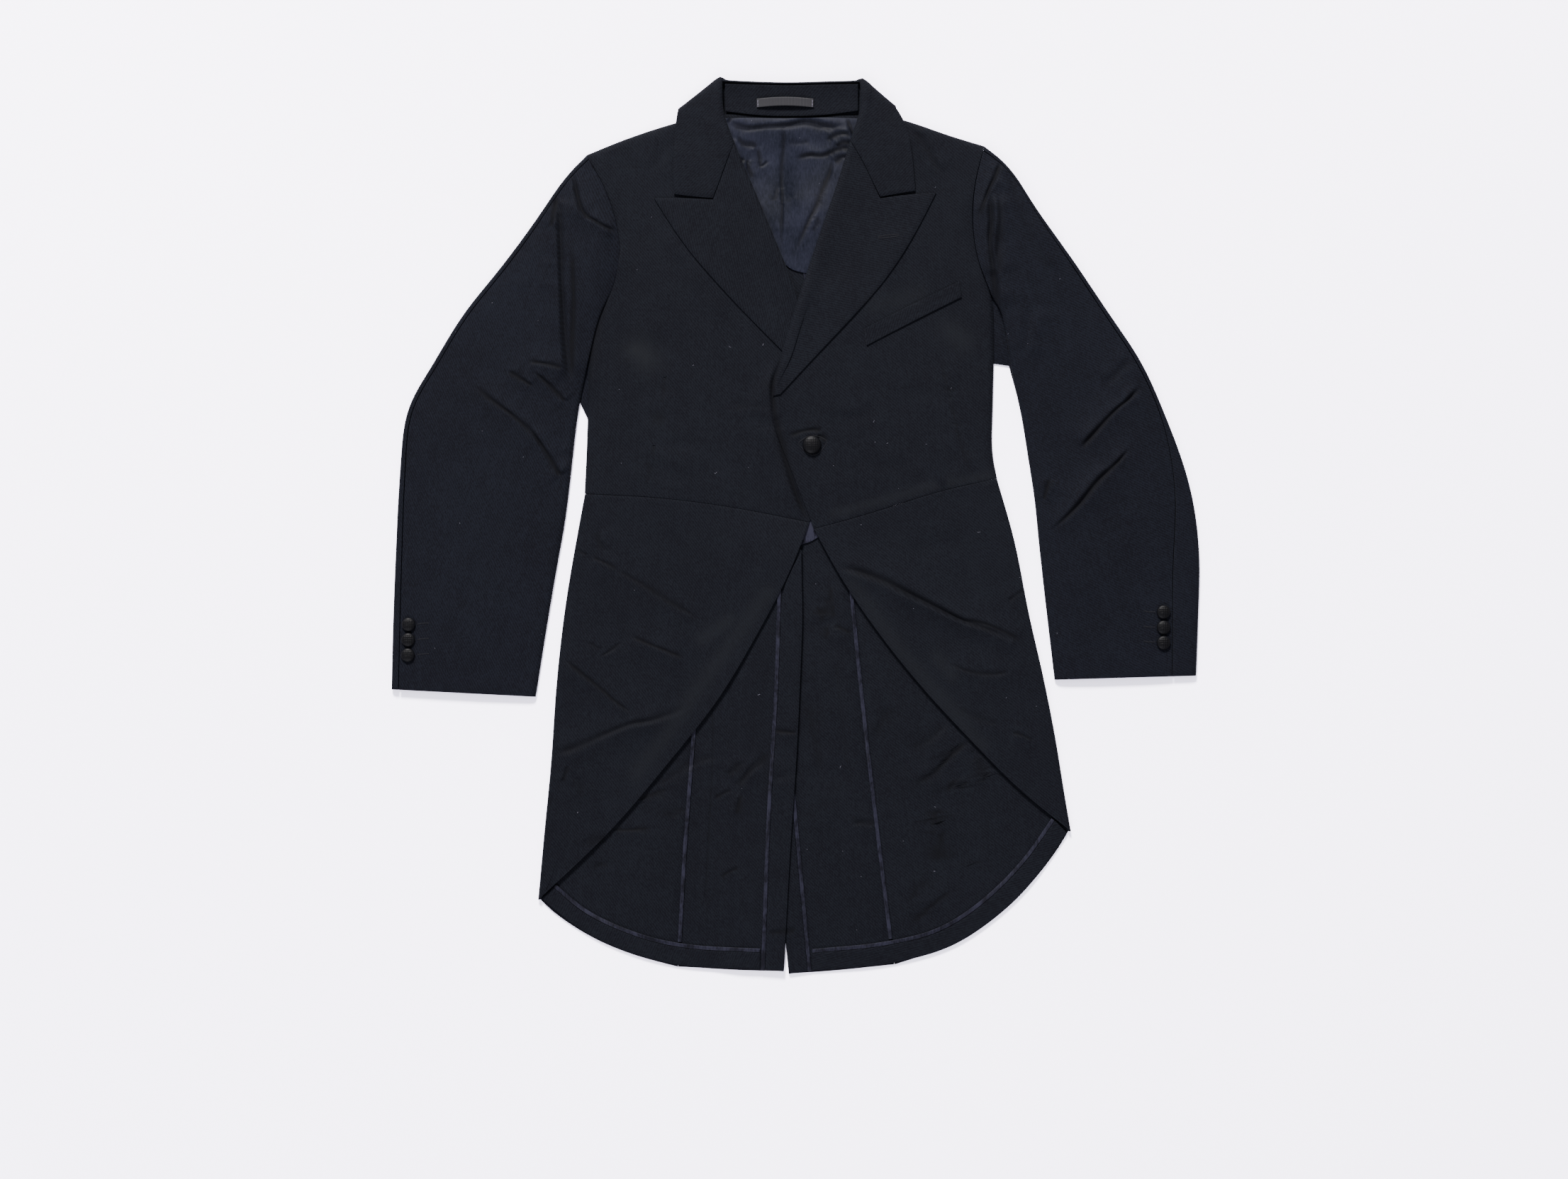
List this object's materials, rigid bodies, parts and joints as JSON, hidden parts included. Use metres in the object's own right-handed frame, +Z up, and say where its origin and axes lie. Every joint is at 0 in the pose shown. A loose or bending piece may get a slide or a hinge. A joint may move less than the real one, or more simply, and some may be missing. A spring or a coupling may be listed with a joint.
{
  "type": "cutaway morning coat, laid flat",
  "caption": "Black cutaway morning coat laid flat on its back, buttoned at the waist, with peaked lapels and tails.",
  "frame": {"origin": "middle of the coat's outline, on the surface that it lies on", "axes": "+Y along the coat's length towards the collar, +Z up out of the surface, +X to the wearer's left"},
  "size_m": [0.8548, 0.9476, 0.0133],
  "materials": {
    "worsted": "fine matt worsted wool",
    "lining_satin": "navy satin",
    "binding_satin": "glossy satin bias binding",
    "covered_buttons": "basket weave silk over a button form",
    "loop_tape": "woven tape"
  },
  "bodies": {
    "root": {"back_right": "worsted", "back_left": "worsted", "side_body_right": "worsted", "side_body_left": "worsted", "forepart_right": "worsted", "forepart_left": "worsted", "skirt_right": "worsted", "skirt_left": "worsted", "lapel_right": "worsted", "lapel_left": "worsted", "collar_fall": "worsted", "collar_stand": "worsted", "top_sleeve_right": "worsted", "top_sleeve_left": "worsted", "under_sleeve_right": "worsted", "under_sleeve_left": "worsted", "breast_welt": "worsted", "vent_facing_right": "worsted", "vent_facing_left": "worsted", "hem_facing_right": "worsted", "hem_facing_left": "worsted", "back_lining": "lining_satin", "waist_lining": "lining_satin", "vent_binding_right": "binding_satin", "vent_binding_left": "binding_satin", "seam_binding_right": "binding_satin", "seam_binding_left": "binding_satin", "hem_binding_right": "binding_satin", "hem_binding_left": "binding_satin", "front_button": "covered_buttons", "cuff_button_right_1": "covered_buttons", "cuff_button_right_2": "covered_buttons", "cuff_button_right_3": "covered_buttons", "cuff_button_left_1": "covered_buttons", "cuff_button_left_2": "covered_buttons", "cuff_button_left_3": "covered_buttons", "hanger_loop": "loop_tape"}
  },
  "joints": []
}
